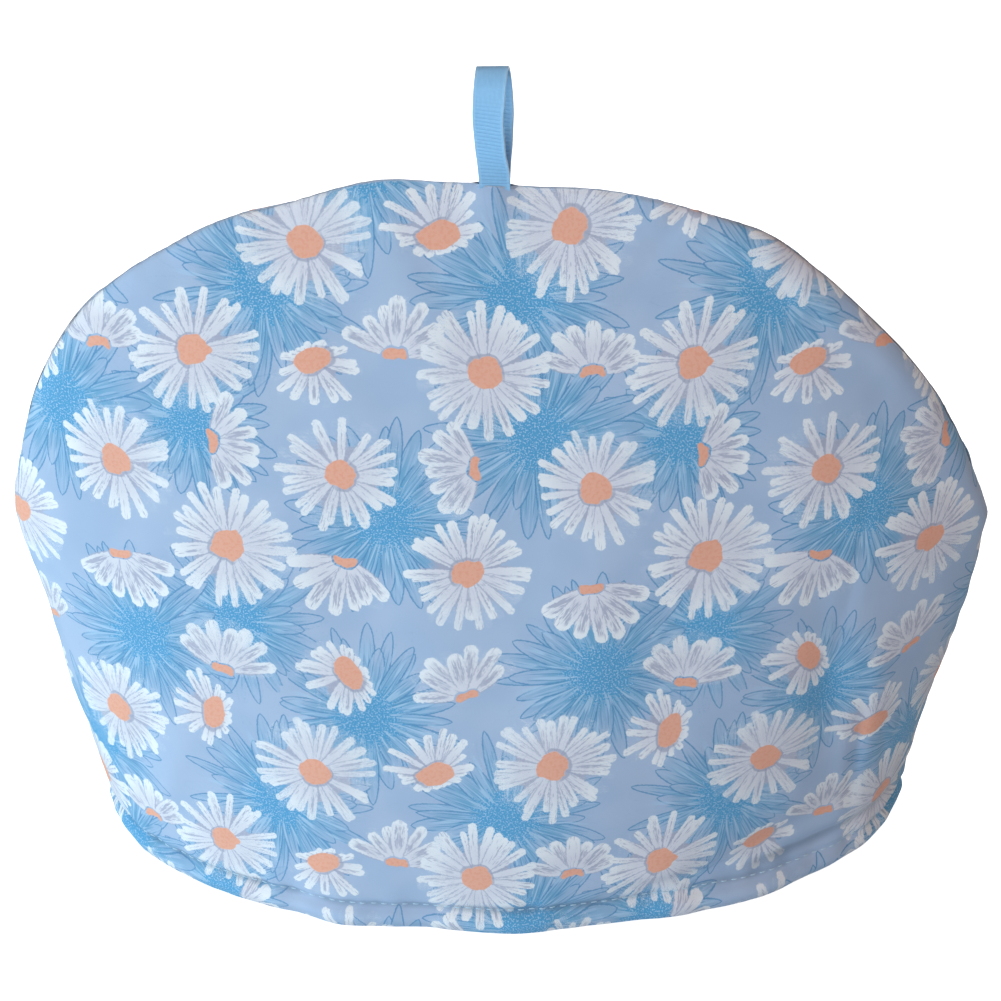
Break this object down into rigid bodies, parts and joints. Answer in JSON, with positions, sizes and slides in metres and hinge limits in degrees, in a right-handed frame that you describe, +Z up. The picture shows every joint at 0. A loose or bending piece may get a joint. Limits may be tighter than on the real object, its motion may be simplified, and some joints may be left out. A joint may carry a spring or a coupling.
{
  "type": "tea cosy",
  "caption": "Padded dome-shaped tea cosy of printed cotton with a ribbon hanging loop, standing on its hem with the mouth open.",
  "frame": {"origin": "on the table under the middle of the cosy", "axes": "+X to the right across the cosy as seen from its front, -Y out of the front panel, +Z up"},
  "size_m": [0.3185, 0.1415, 0.2809],
  "materials": {
    "printed_cotton": "plain-weave cotton with an all-over daisy print on pale blue, padded",
    "ribbon": "light blue grosgrain ribbon with fine cross ribs"
  },
  "bodies": {
    "root": {"front_panel": "printed_cotton", "back_panel": "printed_cotton", "hanging_loop": "ribbon"}
  },
  "joints": []
}
